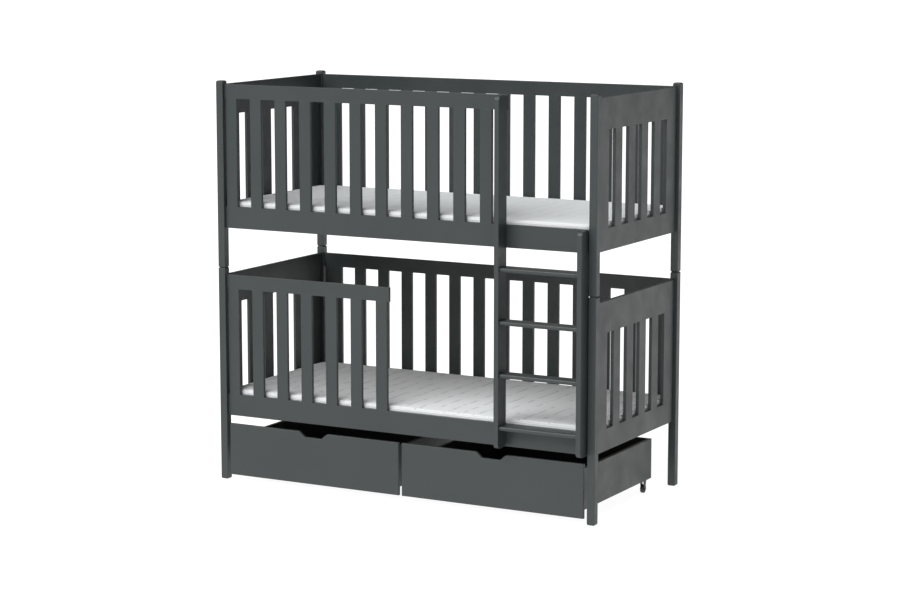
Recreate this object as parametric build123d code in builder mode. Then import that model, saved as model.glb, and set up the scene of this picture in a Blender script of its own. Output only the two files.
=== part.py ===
from build123d import *

import os

os.makedirs("parts", exist_ok=True)

# A bunk bed of painted pine: two slatted bunks on stacked corner posts, a ladder
# on the front and two drawers on castors below.
# X runs along the bed, with the ladder at +X. Y runs from front to back. Z is up.
# The origin is on the floor, in the middle of the bed's outline with its ladder.

# Mattresses
mattress_length = 1800.0
mattress_width = 800.0
mattress_thickness = 80.0
mattress_end_clearance = 5.0
mattress_side_clearance = 7.5
mattress_corner_radius = 40.0
mattress_edge_roll = 8.0
mattress_waist = 2.5
mattress_crown = 3.0
mattress_crown_margin = 55.0
quilt_spacing = 72.0
quilt_channel_width = 8.0
quilt_channel_depth = 2.0

# Posts, each level's on top of the one below
post_size = 35.0
post_eased_edge = 1.5
post_end_chamfer = 5.0
post_joint_chamfer = 4.5
lower_post_head = 31.5
upper_post_head = 15.5
post_dowel_diameter = 10.0
post_dowel_length = 30.0

# Panels of rails and slats between the posts
board_thickness = 15.0
board_eased_edge = 1.5
panel_setback = 13.5
panel_height = 640.0
lower_panel_base = 294.5
upper_panel_clearance = 178.5
side_rail_height = 97.0
guard_rail_height = 63.0
end_top_rail_height = 136.0
end_bottom_rail_height = 94.0
slat_width = 57.0
slat_gap = 70.5
slat_post_gap = 6.0
back_stile_width = 92.25
end_slat_width = 68.0
end_slat_gap = 63.0
end_stile_width = 101.5
low_guard_slat_count = 7
low_guard_overhang = 10.0

# Joints of the panels
tenon_thickness = 7.0
slat_tenon_length = 12.0
rail_tenon_length = 9.0
tenon_shoulder = 8.0
joint_fit = 0.2

# Slatted bases
cleat_height = 22.0
cleat_depth = 20.0
cleat_end_gap = 2.0
base_slat_width = 68.0
base_slat_gap = 60.0
base_slat_thickness = 18.0
base_slat_end_gap = 2.0

# Ladder
ladder_board = 21.0
ladder_depth = 72.5
ladder_end_radius = 22.0
ladder_post_gap = 4.5
ladder_clear_width = 363.0
tread_thickness = 18.0
tread_setback = 8.0
tread_pitch = 225.0
tread_count = 4
tread_nose_radius = 7.0
tread_housing = 6.0

# Drawers
drawer_post_gap = 16.5
drawer_middle_gap = 16.0
drawer_depth = 695.0
drawer_front_floor_gap = 25.0
drawer_front_rail_gap = 35.5
drawer_front_eased_edge = 1.5
drawer_box_drop = 19.0
drawer_box_inset = 122.0
drawer_board = 15.0
drawer_bottom_thickness = 8.0
drawer_rabbet = 8.0
drawer_tongue_thickness = 5.0
drawer_tongue_length = 6.0
drawer_tongue_shoulder = 10.0
notch_top_width = 144.0
notch_bottom_width = 85.0
notch_depth = 24.5
notch_corner_radius = 14.0

# Castors
castor_height = 62.0
wheel_diameter = 38.0
wheel_width = 12.0
wheel_side_gap = 1.0
castor_plate_length = 44.0
castor_plate_thickness = 2.5
castor_plate_flange = 9.0
castor_leg_thickness = 2.0
castor_leg_top = 30.0
castor_leg_end = 10.0
castor_leg_foot = 8.0
castor_side_inset = 22.0
castor_front_inset = 100.0
castor_back_inset = 37.0
axle_diameter = 5.0
axle_fit = 0.1

# Frame
inside_length = mattress_length + 2 * mattress_end_clearance
inside_width = mattress_width + 2 * mattress_side_clearance
wall = board_thickness + panel_setback
bed_length = inside_length + 2 * wall
bed_width = inside_width + 2 * wall
half_length = bed_length / 2
half_post_gap_x = half_length - post_size
half_post_gap_y = bed_width / 2 - post_size
ladder_reach = ladder_depth - panel_setback
bed_middle = ladder_reach / 2
front_face = bed_middle - bed_width / 2
board_face_x = half_length - panel_setback
board_face_y = bed_width / 2 - panel_setback

# Levels, with the rails' and slats' heights above each panel's lower edge
lower_post_height = lower_panel_base + panel_height + lower_post_head
upper_post_height = upper_panel_clearance + panel_height + upper_post_head
lower_base = lower_panel_base
upper_base = lower_post_height + upper_panel_clearance
levels = (("lower", lower_base), ("upper", upper_base))
guard_rail_base = panel_height - guard_rail_height
end_rail_base = panel_height - end_top_rail_height

# Each panel lies in a plane on its outer face, with local x along that side of
# the bed and local y up
front_plane = Plane(origin=(0, bed_middle - board_face_y, 0), x_dir=(1, 0, 0), z_dir=(0, -1, 0))
back_plane = Plane(origin=(0, bed_middle + board_face_y, 0), x_dir=(-1, 0, 0), z_dir=(0, 1, 0))
right_plane = Plane(origin=(board_face_x, bed_middle, 0), x_dir=(0, 1, 0), z_dir=(1, 0, 0))
left_plane = Plane(origin=(-board_face_x, bed_middle, 0), x_dir=(0, -1, 0), z_dir=(-1, 0, 0))

# The ladder stands on the front near the right post
ladder_right = half_post_gap_x - ladder_post_gap
ladder_left = ladder_right - 2 * ladder_board - ladder_clear_width
ladder_back = bed_middle - board_face_y
ladder_front = ladder_back - ladder_depth


def finish(piece, name):
    # Label a finished piece and write its file
    piece.part.label = name
    export_step(piece.part, f"parts/{name}.step")


def bars(plane, spans, bottom, top, outer, inner):
    # Blocks side by side in a panel, between two depths behind its outer face
    with BuildPart() as group:
        with BuildSketch(plane.offset(-inner)):
            for left, right in spans:
                with Locations(((left + right) / 2, (bottom + top) / 2)):
                    Rectangle(right - left, top - bottom)
        extrude(amount=inner - outer)
    return group.part


def tenons(plane, spans, bottom, top, fit=0):
    # The middle of a board's thickness; with some fit all round they cut mortises
    outer = (board_thickness - tenon_thickness) / 2 - fit
    inner = board_thickness - outer
    wider = [(left - fit, right + fit) for left, right in spans]
    return bars(plane, wider, bottom - fit, top + fit, outer, inner)


def shouldered(spans):
    # The widths of the slats' tenons
    return [(left + tenon_shoulder, right - tenon_shoulder) for left, right in spans]


def rail_tenon(plane, half_gap, side, bottom, top, fit=0):
    # The stub at one end of a rail, where side is -1 or 1 in the panel's own x
    ends = (side * half_gap, side * (half_gap + rail_tenon_length))
    return tenons(plane, [sorted(ends)], bottom + tenon_shoulder, top - tenon_shoulder, fit)


def slats(plane, spans, bottom, top):
    # Upright slats with eased edges and a stub tenon at both ends
    with BuildPart() as group:
        add(bars(plane, spans, bottom, top, 0, board_thickness))
        chamfer(group.edges().filter_by(Axis.Z), board_eased_edge)
        reach = slat_tenon_length
        add(tenons(plane, shouldered(spans), bottom - reach, top + reach))
    return group


def rail(plane, left, right, bottom, top, half_gap, tenon_sides, spans, slats_above):
    # A rail with eased outer edges, mortises for its slats and stubs for its posts
    joint = top if slats_above else bottom
    outer_group = 0 if slats_above else -1
    with BuildPart() as piece:
        add(bars(plane, [(left, right)], bottom, top, 0, board_thickness))
        long_edges = piece.edges().filter_by(Axis(plane.origin, plane.x_dir))
        chamfer(long_edges.group_by(Axis.Z)[outer_group], board_eased_edge)
        depth = -slat_tenon_length if slats_above else slat_tenon_length
        low, high = sorted((joint, joint + depth))
        add(tenons(plane, shouldered(spans), low, high, joint_fit), mode=Mode.SUBTRACT)
        for side in tenon_sides:
            add(rail_tenon(plane, half_gap, side, bottom, top))
    return piece


def front_spans(count):
    # Left and right edges of the front slats, counted from the left post
    pitch = slat_width + slat_gap
    first = slat_post_gap - half_post_gap_x
    return [(first + i * pitch, first + i * pitch + slat_width) for i in range(count)]


def closed_spans(half_gap, stile, width, gap):
    # Edges of two stiles and of the whole number of slats that fits best between them
    reach = half_gap - slat_post_gap
    clear = 2 * (reach - stile)
    count = max(1, round((clear - gap) / (width + gap)))
    true_gap = (clear - count * width) / (count + 1)
    first = stile - reach + true_gap
    pitch = width + true_gap
    inner = [(first + i * pitch, first + i * pitch + width) for i in range(count)]
    return [(-reach, stile - reach), *inner, (reach - stile, reach)]


# Corner posts, with the rails that each one holds
side_rail_span = (0, side_rail_height)
top_rail_span = (guard_rail_base, panel_height)
end_rail_spans = ((0, end_bottom_rail_height), (end_rail_base, panel_height))
corners = {
    "front_left": (-1, -1, front_plane, left_plane, (side_rail_span, top_rail_span)),
    "front_right": (1, -1, front_plane, right_plane, (side_rail_span,)),
    "back_left": (-1, 1, back_plane, left_plane, (side_rail_span, top_rail_span)),
    "back_right": (1, 1, back_plane, right_plane, (side_rail_span, top_rail_span)),
}
post_offset_x = half_length - post_size / 2
post_offset_y = bed_width / 2 - post_size / 2


def post(corner, bottom, height, base, bottom_chamfer, top_chamfer):
    # A square post with eased edges, chamfered ends and mortises for its rails
    side_x, side_y, long_plane, end_plane, long_rail_spans = corners[corner]
    x = side_x * post_offset_x
    y = bed_middle + side_y * post_offset_y
    with BuildPart() as piece:
        with BuildSketch(Plane.XY.offset(bottom)):
            with Locations((x, y)):
                Rectangle(post_size, post_size)
        extrude(amount=height)
        chamfer(piece.faces().sort_by(Axis.Z)[0].edges(), bottom_chamfer)
        chamfer(piece.faces().sort_by(Axis.Z)[-1].edges(), top_chamfer)
        chamfer(piece.edges().filter_by(Axis.Z), post_eased_edge)
        for plane, half_gap, spans in (
            (long_plane, half_post_gap_x, long_rail_spans),
            (end_plane, half_post_gap_y, end_rail_spans),
        ):
            side = 1 if plane.to_local_coords(Vector(x, y, 0)).X > 0 else -1
            for low, high in spans:
                mortise = rail_tenon(plane, half_gap, side, base + low, base + high, joint_fit)
                add(mortise, mode=Mode.SUBTRACT)
    return piece.part


def post_dowel(corner, fit=0):
    # The dowel glued in a lower post's top; with some fit it cuts the upper one's hole
    side_x, side_y = corners[corner][:2]
    with BuildPart() as dowel:
        with BuildSketch(Plane.XY.offset(lower_post_height)):
            with Locations((side_x * post_offset_x, bed_middle + side_y * post_offset_y)):
                Circle(post_dowel_diameter / 2 + fit)
        extrude(amount=post_dowel_length + fit)
    return dowel.part


for corner in corners:
    foot, seam = post_end_chamfer, post_joint_chamfer
    with BuildPart() as lower_post:
        add(post(corner, 0, lower_post_height, lower_base, foot, seam))
        add(post_dowel(corner))
    finish(lower_post, f"lower_post_{corner}")
    with BuildPart() as upper_post:
        add(post(corner, lower_post_height, upper_post_height, upper_base, seam, foot))
        add(post_dowel(corner, joint_fit), mode=Mode.SUBTRACT)
    finish(upper_post, f"upper_post_{corner}")


def end_panel(name, plane, base):
    # Two rails, two stiles and the slats between, across one end of the bed
    spans = closed_spans(half_post_gap_y, end_stile_width, end_slat_width, end_slat_gap)
    edge = half_post_gap_y
    low = base + end_bottom_rail_height
    high = base + end_rail_base
    top = base + panel_height
    with BuildPart() as rails:
        add(rail(plane, -edge, edge, base, low, edge, (-1, 1), spans, True).part)
        add(rail(plane, -edge, edge, high, top, edge, (-1, 1), spans, False).part)
    finish(rails, f"{name}_end_rails")
    finish(slats(plane, spans, low, high), f"{name}_end_slats")


def back_panel(level, base):
    # Like the front, but closed over the whole length
    spans = closed_spans(half_post_gap_x, back_stile_width, slat_width, slat_gap)
    edge = half_post_gap_x
    low = base + side_rail_height
    high = base + guard_rail_base
    top = base + panel_height
    side_rail = rail(back_plane, -edge, edge, base, low, edge, (-1, 1), spans, True)
    finish(side_rail, f"{level}_back_side_rail")
    top_rail = rail(back_plane, -edge, edge, high, top, edge, (-1, 1), spans, False)
    finish(top_rail, f"{level}_back_top_rail")
    finish(slats(back_plane, spans, low, high), f"{level}_back_slats")


def front_panel(level, base, spans, guard_end):
    # A side rail along the whole bed, and a guard from the left post on part of it
    edge = half_post_gap_x
    low = base + side_rail_height
    high = base + guard_rail_base
    top = base + panel_height
    side_rail = rail(front_plane, -edge, edge, base, low, edge, (-1, 1), spans, True)
    finish(side_rail, f"{level}_front_side_rail")
    guard_rail = rail(front_plane, -edge, guard_end, high, top, edge, (-1,), spans, False)
    finish(guard_rail, f"{level}_guard_rail")
    finish(slats(front_plane, spans, low, high), f"{level}_guard_slats")


# The upper guard has as many slats as fit up to the ladder
slat_pitch = slat_width + slat_gap
high_guard_reach = ladder_left + half_post_gap_x - slat_post_gap
high_guard_slat_count = int((high_guard_reach - slat_width) // slat_pitch) + 1
low_spans = front_spans(low_guard_slat_count)
high_spans = front_spans(high_guard_slat_count)

for level, base in levels:
    end_panel(f"{level}_left", left_plane, base)
    end_panel(f"{level}_right", right_plane, base)
    back_panel(level, base)
front_panel("lower", lower_base, low_spans, low_spans[-1][1] + low_guard_overhang)
front_panel("upper", upper_base, high_spans, ladder_left + ladder_board)


def cleats(level, base):
    # Square strips along both side rails, flush with their lower edges
    inner_face = board_face_y - board_thickness
    with BuildPart() as strips:
        with BuildSketch(Plane.XY.offset(base)):
            with Locations((0, bed_middle)):
                with GridLocations(0, 2 * inner_face - cleat_depth, 1, 2):
                    Rectangle(2 * (half_post_gap_x - cleat_end_gap), cleat_depth)
        extrude(amount=cleat_height)
    finish(strips, f"{level}_cleats")


def base_slats(level, base):
    # Boards across the bed on its cleats, as many as fit between the posts
    pitch = base_slat_width + base_slat_gap
    count = int((2 * half_post_gap_x - base_slat_width) // pitch) + 1
    with BuildPart() as boards:
        with BuildSketch(Plane.XY.offset(base + cleat_height)):
            with Locations((0, bed_middle)):
                with GridLocations(pitch, 0, count, 1):
                    Rectangle(base_slat_width, inside_width - 2 * base_slat_end_gap)
        extrude(amount=base_slat_thickness)
        chamfer(boards.edges().filter_by(Axis.Y).group_by(Axis.Z)[-1], board_eased_edge)
    finish(boards, f"{level}_base_slats")


def mattress(level, base):
    # Rolled edges, a drawn-in border, a low crown and quilted channels across
    shoulder = mattress_thickness - mattress_crown
    outline = (
        (0, mattress_edge_roll),
        (mattress_edge_roll, 0),
        (shoulder / 2, mattress_waist),
        (shoulder - mattress_edge_roll, 0),
        (shoulder, mattress_edge_roll),
        (mattress_thickness, mattress_crown_margin),
    )
    bottom = base + cleat_height + base_slat_thickness
    top = bottom + mattress_thickness
    half_channel = quilt_channel_width / 2
    channel_count = int((mattress_length - 2 * mattress_crown_margin) // quilt_spacing)
    with BuildPart() as pad:
        for height, inset in outline:
            with BuildSketch(Plane.XY.offset(bottom + height)):
                with Locations((0, bed_middle)):
                    length = mattress_length - 2 * inset
                    width = mattress_width - 2 * inset
                    RectangleRounded(length, width, mattress_corner_radius)
        loft(ruled=True)
        with BuildSketch(Plane(origin=(0, bed_middle, top), x_dir=(1, 0, 0), z_dir=(0, -1, 0))):
            with GridLocations(quilt_spacing, 0, channel_count, 1):
                deep = (0, -quilt_channel_depth)
                Polygon((-half_channel, 0), deep, (half_channel, 0), align=None)
        extrude(amount=mattress_width / 2, both=True, mode=Mode.SUBTRACT)
    finish(pad, f"{level}_mattress")


for level, base in levels:
    cleats(level, base)
    base_slats(level, base)
    mattress(level, base)


# Ladder, from the lower side rail's bottom to the upper side rail and guard
tread_back = ladder_back
tread_front = ladder_front + tread_setback
first_tread_top = lower_base + side_rail_height
tread_bottoms = [first_tread_top - tread_thickness + i * tread_pitch for i in range(tread_count)]


def treads(left, right, fit):
    # The flat steps with rounded noses; with some fit they cut their housings
    depth = tread_back - tread_front
    with BuildPart() as steps:
        with BuildSketch(Plane.YZ.offset(left)) as profile:
            for bottom in tread_bottoms:
                with Locations((tread_back - depth / 2, bottom + tread_thickness / 2)):
                    Rectangle(depth + 2 * fit, tread_thickness + 2 * fit)
            fillet(profile.vertices().group_by(Axis.X)[0], tread_nose_radius + fit)
        extrude(amount=right - left)
    return steps


def upright(name, left, top):
    # A board on edge with rounded ends and housings for the treads
    with BuildPart() as board:
        with BuildSketch(Plane.YZ.offset(left)):
            with Locations(((ladder_front + ladder_back) / 2, (lower_base + top) / 2)):
                RectangleRounded(ladder_depth, top - lower_base, ladder_end_radius)
        extrude(amount=ladder_board)
        add(treads(housing_left, housing_right, joint_fit).part, mode=Mode.SUBTRACT)
    finish(board, name)


housing_left = ladder_left + ladder_board - tread_housing
housing_right = ladder_right - ladder_board + tread_housing
upright("ladder_upright_left", ladder_left, upper_base + panel_height)
upright("ladder_upright_right", ladder_right - ladder_board, upper_base + side_rail_height)
finish(treads(housing_left + joint_fit, housing_right - joint_fit, 0), "ladder_treads")

# Drawers
drawer_width = half_post_gap_x - drawer_post_gap - drawer_middle_gap / 2
drawer_box_width = drawer_width - drawer_box_inset
drawer_box_shift = drawer_box_inset / 2
drawer_front_inner = front_face + drawer_board
drawer_back = front_face + drawer_depth
drawer_front_top = lower_base - drawer_front_rail_gap
drawer_box_base = castor_height
drawer_box_top = drawer_front_top - drawer_box_drop
tongue_low = drawer_box_base + drawer_bottom_thickness + drawer_tongue_shoulder
tongue_high = drawer_box_top - drawer_tongue_shoulder
drawer_offset = (drawer_width + drawer_middle_gap) / 2
drawers = (("left", -drawer_offset), ("right", drawer_offset))


def box(x_low, x_high, y_low, y_high, z_low, z_high):
    # A plain board or cut between its limits
    with BuildPart() as piece:
        with BuildSketch(Plane.XY.offset(z_low)):
            with Locations(((x_low + x_high) / 2, (y_low + y_high) / 2)):
                Rectangle(x_high - x_low, y_high - y_low)
        extrude(amount=z_high - z_low)
    return piece.part


def side_tongues(middle, fit):
    # Tongues on the sides' front ends, which the drawer's front takes
    half = drawer_tongue_thickness / 2 + fit
    low, high = tongue_low - fit, tongue_high + fit
    near = drawer_front_inner - drawer_tongue_length - fit
    reach = (drawer_box_width - drawer_board) / 2
    with BuildPart() as tongues:
        for x in (middle - reach, middle + reach):
            add(box(x - half, x + half, near, drawer_front_inner + fit, low, high))
    return tongues.part


def back_tongues(middle, fit):
    # Tongues on the back's two ends, which the drawer's sides take
    half = drawer_tongue_thickness / 2 + fit
    low, high = tongue_low - fit, tongue_high + fit
    y = drawer_back - drawer_board / 2
    seat = drawer_box_width / 2 - drawer_board
    near, far = seat - fit, seat + drawer_tongue_length + fit
    with BuildPart() as tongues:
        add(box(middle - far, middle - near, y - half, y + half, low, high))
        add(box(middle + near, middle + far, y - half, y + half, low, high))
    return tongues.part


def bottom_panel(middle, fit):
    # The bottom lies in rabbets along the sides and the back
    reach = drawer_box_width / 2 - drawer_board + drawer_rabbet + fit
    far = drawer_back - drawer_board + drawer_rabbet + fit
    top = drawer_box_base + drawer_bottom_thickness + fit
    return box(middle - reach, middle + reach, drawer_front_inner, far, drawer_box_base, top)


def drawer_front(name, middle):
    # A board with eased edges and a finger notch with rounded corners in its top
    base, front_top = drawer_front_floor_gap, drawer_front_top
    notch_floor = front_top - notch_depth
    half_width, half_top, half_floor = drawer_width / 2, notch_top_width / 2, notch_bottom_width / 2
    with BuildPart() as front:
        with BuildSketch(Plane.XZ.offset(-drawer_front_inner)) as outline:
            Polygon(
                (middle - half_width, base),
                (middle + half_width, base),
                (middle + half_width, front_top),
                (middle + half_top, front_top),
                (middle + half_floor, notch_floor),
                (middle - half_floor, notch_floor),
                (middle - half_top, front_top),
                (middle - half_width, front_top),
                align=None,
            )
            notch = outline.vertices().sort_by_distance((middle, front_top, 0))[:4]
            fillet(notch, notch_corner_radius)
        extrude(amount=drawer_board)
        chamfer(front.faces().sort_by(Axis.Y)[0].edges(), drawer_front_eased_edge)
        add(side_tongues(middle + drawer_box_shift, joint_fit), mode=Mode.SUBTRACT)
    finish(front, f"{name}_drawer_front")


def drawer_box(name, middle):
    # Sides, back and bottom behind the front, which reaches past them on the left
    inner = drawer_box_width / 2 - drawer_board
    with BuildPart() as sides:
        for x_low in (middle - inner - drawer_board, middle + inner):
            x_high = x_low + drawer_board
            add(box(x_low, x_high, drawer_front_inner, drawer_back, drawer_box_base, drawer_box_top))
        add(side_tongues(middle, 0))
        add(back_tongues(middle, joint_fit), mode=Mode.SUBTRACT)
        add(bottom_panel(middle, joint_fit), mode=Mode.SUBTRACT)
    finish(sides, f"{name}_drawer_sides")
    with BuildPart() as back:
        y_low = drawer_back - drawer_board
        x_low, x_high = middle - inner, middle + inner
        add(box(x_low, x_high, y_low, drawer_back, drawer_box_base, drawer_box_top))
        add(back_tongues(middle, 0))
        add(bottom_panel(middle, joint_fit), mode=Mode.SUBTRACT)
    finish(back, f"{name}_drawer_back")
    with BuildPart() as bottom:
        add(bottom_panel(middle, 0))
    finish(bottom, f"{name}_drawer_bottom")


# Castors, one near each corner of a drawer, rolling from front to back
axle_z = wheel_diameter / 2
leg_gap = wheel_width / 2 + wheel_side_gap
leg_outer = leg_gap + castor_leg_thickness
plate_reach = leg_outer + castor_plate_flange
castor_offset_x = drawer_box_width / 2 - castor_side_inset
castor_front_y = drawer_front_inner + castor_front_inset
castor_back_y = drawer_back - castor_back_inset
castor_rows = (("front", castor_front_y), ("back", castor_back_y))
castor_columns = (("left", -castor_offset_x), ("right", castor_offset_x))


def castor_bracket(x, y):
    # A plate under the drawer, two tapered legs bent down from it and the axle
    # riveted in them
    plate_bottom = drawer_box_base - castor_plate_thickness
    half_top, half_end = castor_leg_top / 2, castor_leg_end / 2
    half_plate = castor_plate_length / 2
    with BuildPart() as bracket:
        for leg_left in (x - leg_outer, x + leg_gap):
            with BuildSketch(Plane.YZ.offset(leg_left)):
                Polygon(
                    (y - half_top, plate_bottom),
                    (y - half_end, axle_z - castor_leg_foot),
                    (y + half_end, axle_z - castor_leg_foot),
                    (y + half_top, plate_bottom),
                    align=None,
                )
            extrude(amount=castor_leg_thickness)
        plate_x = (x - plate_reach, x + plate_reach)
        add(box(*plate_x, y - half_plate, y + half_plate, plate_bottom, drawer_box_base))
        with BuildSketch(Plane.YZ.offset(x - leg_gap)):
            with Locations((y, axle_z)):
                Circle(axle_diameter / 2)
        extrude(amount=2 * leg_gap)
    return bracket.part


def wheel(x, y):
    # A plain roller with a bore for its axle
    with BuildPart() as roller:
        with BuildSketch(Plane.YZ.offset(x - wheel_width / 2)):
            with Locations((y, axle_z)):
                Circle(wheel_diameter / 2)
                Circle(axle_diameter / 2 + axle_fit, mode=Mode.SUBTRACT)
        extrude(amount=wheel_width)
    return roller


for name, middle in drawers:
    drawer_front(name, middle)
    box_middle = middle + drawer_box_shift
    drawer_box(name, box_middle)
    with BuildPart() as brackets:
        add([castor_bracket(box_middle + x, y) for _, x in castor_columns for _, y in castor_rows])
    finish(brackets, f"{name}_castor_brackets")
    for row, y in castor_rows:
        for column, x in castor_columns:
            finish(wheel(box_middle + x, y), f"{name}_wheel_{row}_{column}")
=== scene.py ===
import math

import bpy
import numpy as np
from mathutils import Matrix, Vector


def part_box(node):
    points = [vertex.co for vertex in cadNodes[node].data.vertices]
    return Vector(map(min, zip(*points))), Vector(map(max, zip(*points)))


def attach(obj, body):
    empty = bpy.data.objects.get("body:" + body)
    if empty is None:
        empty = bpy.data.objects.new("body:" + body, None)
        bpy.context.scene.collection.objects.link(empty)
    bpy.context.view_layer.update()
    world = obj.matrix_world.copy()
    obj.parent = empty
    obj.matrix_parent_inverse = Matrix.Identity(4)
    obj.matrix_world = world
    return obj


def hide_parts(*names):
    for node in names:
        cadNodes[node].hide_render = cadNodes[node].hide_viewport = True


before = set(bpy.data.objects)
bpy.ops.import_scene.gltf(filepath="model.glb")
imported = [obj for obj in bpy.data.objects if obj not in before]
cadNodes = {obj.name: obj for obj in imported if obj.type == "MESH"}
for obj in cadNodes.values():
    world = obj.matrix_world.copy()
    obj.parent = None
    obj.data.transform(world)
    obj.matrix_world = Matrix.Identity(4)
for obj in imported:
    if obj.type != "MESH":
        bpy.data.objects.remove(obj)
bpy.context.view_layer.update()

# A painted bunk bed with a ladder, two mattresses and two drawers on castors.
# Metres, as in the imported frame: +X along the bed, +Y to the back, +Z up.

bedBody = "bed_frame"
print("frame loaded,", len(cadNodes), "nodes")


# Shader building

def addNode(tree, kind, inputs=None, **settings):
    # Makes a node, sets its settings, then links or sets each named input
    node = tree.nodes.new(kind)
    for name, value in settings.items():
        setattr(node, name, value)
    for name, value in (inputs or {}).items():
        if isinstance(value, bpy.types.NodeSocket):
            tree.links.new(value, node.inputs[name])
        else:
            node.inputs[name].default_value = value
    return node


def calculate(tree, operation, first, second=0.0):
    # One Math node, whose inputs may be numbers or sockets
    return addNode(tree, "ShaderNodeMath", {0: first, 1: second, 2: 0.0}, operation=operation).outputs[0]


def product(tree, first, *others):
    # All the values multiplied, one after the other
    for other in others:
        first = calculate(tree, "MULTIPLY", first, other)
    return first


def remap(tree, value, fromLow, fromHigh, toLow=0.0, toHigh=1.0):
    # A clamped straight ramp from one range to another
    inputs = {"Value": value, "From Min": fromLow, "From Max": fromHigh, "To Min": toLow, "To Max": toHigh}
    return addNode(tree, "ShaderNodeMapRange", inputs).outputs["Result"]


def mixColors(tree, factor, first, second):
    # The first colour where the factor is zero, the second where it is one
    inputs = {0: factor, 6: first, 7: second}
    return addNode(tree, "ShaderNodeMix", inputs, data_type="RGBA").outputs[2]


def noise(tree, vector, scale, detail, roughness=0.5, distortion=0.0):
    # Cloudy values between zero and one
    inputs = {"Vector": vector, "Scale": scale, "Detail": detail,
              "Roughness": roughness, "Distortion": distortion}
    return addNode(tree, "ShaderNodeTexNoise", inputs).outputs["Fac"]


def bump(tree, height, distance, strength=1.0, normal=None):
    # The normal that a height would give, on top of an earlier one where there is one
    inputs = {"Height": height, "Distance": distance, "Strength": strength}
    if normal is not None:
        inputs["Normal"] = normal
    return addNode(tree, "ShaderNodeBump", inputs).outputs["Normal"]


def newGroup(name, inputs, outputs):
    # A shader group with named sockets; returns its tree, its inputs and its outputs
    tree = bpy.data.node_groups.new(name, "ShaderNodeTree")
    for label, kind in inputs.items():
        tree.interface.new_socket(name=label, in_out="INPUT", socket_type="NodeSocket" + kind)
    for label, kind in outputs.items():
        tree.interface.new_socket(name=label, in_out="OUTPUT", socket_type="NodeSocket" + kind)
    return tree, addNode(tree, "NodeGroupInput").outputs, addNode(tree, "NodeGroupOutput").inputs


def useGroup(tree, group, inputs):
    # One copy of a shader group with its own inputs; returns its outputs
    return addNode(tree, "ShaderNodeGroup", inputs, node_tree=group).outputs


# Camera, floor and light

cameraView = {
    "place": (5.1964, -9.4423, 2.4963),
    "turnDegrees": 28.707,
    "tiltDegrees": 8.779,
    "focalPixels": 2453.0,
    "imageWidth": 900,
    "sensorWidth": 36.0,
    "clipEnd": 500.0,
}
studio = {
    "white": (1.0, 1.0, 1.0, 1.0),
    "floorSize": 400.0,
    "floorColor": (0.25, 0.25, 0.25, 1.0),
    "floorRoughness": 0.9,
    "floorSpecular": 0.1,
    "floorGlow": 0.95,
    "horizonStrength": 0.15,
    "zenithStrength": 0.22,
    "fadePower": 1.5,
    "keyStrength": 3.6,
    "keyDirection": (-0.18, -0.66, 0.82),   # where the light comes from
    "keySoftness": 0.95,                    # radians across the sky
}


def makeCamera(view):
    # A tilted camera, with no shift, whose focal length in pixels becomes millimetres
    camera = bpy.data.objects.new("camera", bpy.data.cameras.new("camera"))
    camera.data.sensor_width = view["sensorWidth"]
    camera.data.lens = view["focalPixels"] / view["imageWidth"] * view["sensorWidth"]
    camera.data.clip_end = view["clipEnd"]
    camera.location = view["place"]
    camera.rotation_euler = (math.radians(90 - view["tiltDegrees"]), 0, math.radians(view["turnDegrees"]))
    bpy.context.scene.collection.objects.link(camera)
    bpy.context.scene.camera = camera


def makeFloor(values):
    # One large square about the origin that glows white
    half = values["floorSize"] / 2
    mesh = bpy.data.meshes.new("floor")
    corners = [(-half, -half, 0), (half, -half, 0), (half, half, 0), (-half, half, 0)]
    mesh.from_pydata(corners, [], [(0, 1, 2, 3)])
    floor = bpy.data.objects.new("floor", mesh)
    bpy.context.scene.collection.objects.link(floor)
    material = bpy.data.materials.new("floorPaint")
    material.use_nodes = True
    shader = material.node_tree.nodes["Principled BSDF"].inputs
    shader["Base Color"].default_value = values["floorColor"]
    shader["Roughness"].default_value = values["floorRoughness"]
    shader["Specular IOR Level"].default_value = values["floorSpecular"]
    shader["Emission Color"].default_value = values["white"]
    shader["Emission Strength"].default_value = values["floorGlow"]
    mesh.materials.append(material)


def makeSky(values):
    # A dim white sky, a little brighter overhead than at the horizon: it fades with
    # one less the height, to a power
    world = bpy.data.worlds.new("sky")
    bpy.context.scene.world = world
    world.use_nodes = True
    tree = world.node_tree
    direction = addNode(tree, "ShaderNodeTexCoord").outputs["Generated"]
    height = addNode(tree, "ShaderNodeSeparateXYZ", {0: direction}).outputs["Z"]
    low = calculate(tree, "SUBTRACT", 1.0, calculate(tree, "ABSOLUTE", height))
    fade = calculate(tree, "POWER", low, values["fadePower"])
    strength = remap(tree, fade, 0.0, 1.0, values["zenithStrength"], values["horizonStrength"])
    tree.links.new(strength, tree.nodes["Background"].inputs["Strength"])
    tree.nodes["Background"].inputs["Color"].default_value = values["white"]


def makeKey(values):
    # One broad soft light from the front gives nearly all of the brightness
    key = bpy.data.objects.new("key", bpy.data.lights.new("key", "SUN"))
    key.data.energy = values["keyStrength"]
    key.data.angle = values["keySoftness"]
    x, y, z = values["keyDirection"]
    key.rotation_euler = (math.atan2(math.hypot(x, y), z), 0, math.atan2(x, -y))
    bpy.context.scene.collection.objects.link(key)


makeCamera(cameraView)
makeFloor(studio)
makeSky(studio)
makeKey(studio)
bpy.context.scene.view_settings.view_transform = "Standard"
print("camera and studio ready")


# Effects that several materials share

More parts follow.
